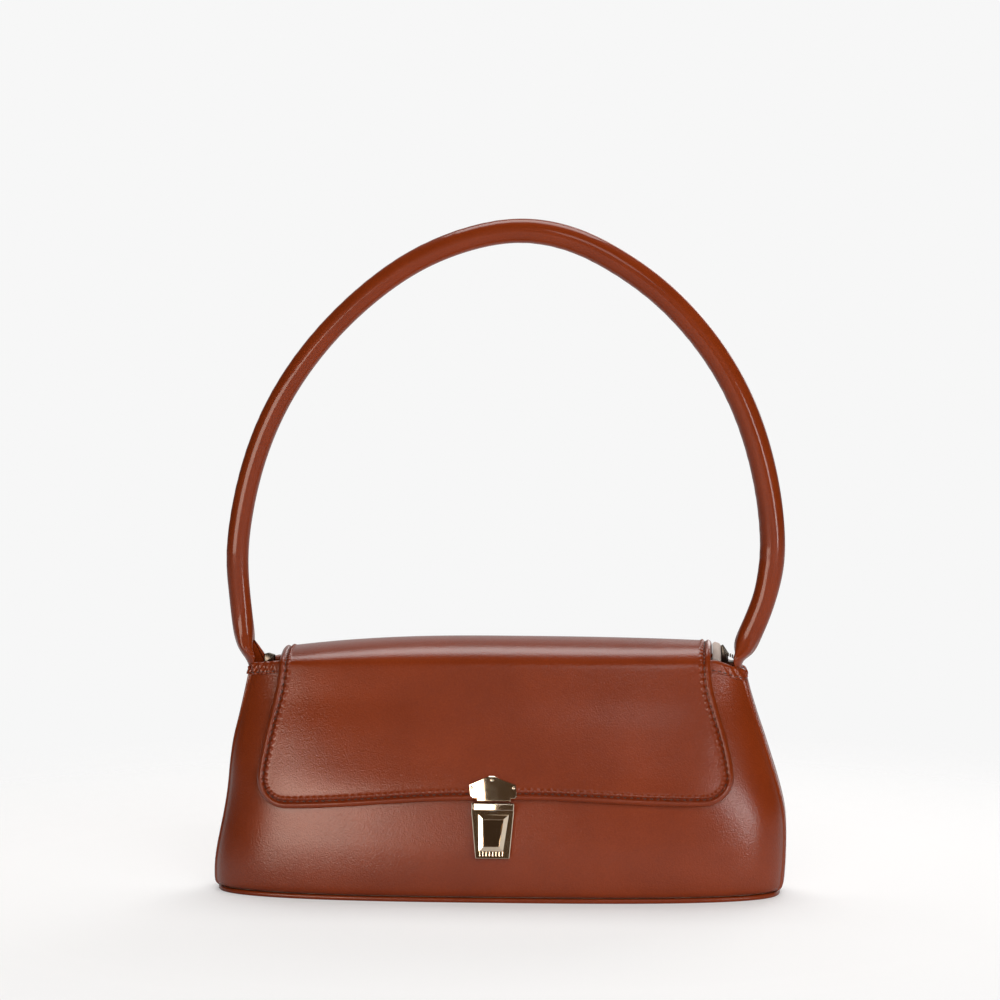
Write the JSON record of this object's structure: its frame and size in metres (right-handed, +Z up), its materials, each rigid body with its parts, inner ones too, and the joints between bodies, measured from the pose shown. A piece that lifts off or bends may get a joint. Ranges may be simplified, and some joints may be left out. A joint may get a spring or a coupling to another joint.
{
  "type": "shoulder bag",
  "caption": "Structured brown leather shoulder bag with a rolled top handle, a front flap, a zipped mouth and a push-button tuck lock.",
  "frame": {"origin": "middle of the base panel's outer face, on the surface that the bag stands on", "axes": "+Z up through the handle, +X to the right as seen from the front, -Y out of the front"},
  "size_m": [0.2724, 0.0853, 0.3204],
  "materials": {
    "leather": "smooth semi-gloss calf leather",
    "leatherEdge": "matt flap lining leather",
    "lining": "pale woven lining",
    "board": "pressed board",
    "zipTape": "woven tape",
    "darkMetal": "antique dark metal",
    "paleGold": "polished pale gold plating",
    "mirror": "mirror polished inlay",
    "steel": "plain steel",
    "core": "soft cord core"
  },
  "bodies": {
    "bag_body": {"back_panel": "leather", "front_panel": "leather", "gusset_left": "leather", "gusset_right": "leather", "base_panel": "leather", "base_board": "board", "lining": "lining", "inner_pocket": "lining", "mouth_binding_front": "leather", "mouth_binding_back": "leather", "zip_tape_front": "zipTape", "zip_tape_back": "zipTape", "zip_teeth_front": "darkMetal", "zip_teeth_back": "darkMetal", "zip_end_left": "lining", "zip_end_right": "lining", "flap_anchor": "leather", "lock_case": "paleGold", "lock_back_washer": "steel", "lock_spring": "steel", "handle_root_left": "leather", "handle_root_right": "leather"},
    "zip_slider": {"zip_slider": "darkMetal"},
    "zip_pull": {"zip_pull": "darkMetal"},
    "flap": {"flap": "leather", "flap_lining": "leatherEdge", "lock_plate": "paleGold", "lock_rivet_left": "paleGold", "lock_rivet_top": "paleGold", "lock_rivet_right": "paleGold", "lock_flap_washer": "steel", "lock_bar": "paleGold"},
    "lock_button": {"lock_button": "paleGold", "lock_button_face": "mirror", "lock_catch": "steel"},
    "handle": {"handle_cover": "leather", "handle_core": "core"}
  },
  "joints": [
    {"name": "handle_swing", "type": "hinge", "parent": "bag_body", "child": "handle", "pos_m": [0, 0, 0.118], "axis": [1, 0, 0], "range_deg": [-90, 90], "deforming": ["handle_root_left", "handle_root_right"]},
    {"name": "flap_lift", "type": "hinge", "parent": "bag_body", "child": "flap", "pos_m": [0, 0.02223, 0.11207], "axis": [-1, 0, 0], "range_deg": [0, 165], "deforming": ["lock_catch"]},
    {"name": "button_press", "type": "slide", "parent": "bag_body", "child": "lock_button", "axis": [0, -0.1059, -0.9944], "range_m": [0, 0.0026], "stiffness_N_per_m": 400, "springref_m": -0.0015, "deforming": ["lock_spring"]},
    {"name": "zip_slide", "type": "slide", "parent": "bag_body", "child": "zip_slider", "axis": [-1, 0, 0], "range_m": [0, 0.206], "deforming": ["zip_teeth_front", "zip_teeth_back", "zip_tape_front", "zip_tape_back"]},
    {"name": "pull_swing", "type": "hinge", "parent": "zip_slider", "child": "zip_pull", "pos_m": [0.1026, 0, 0.11075], "axis": [0, -1, 0], "range_deg": [0, 90]}
  ]
}
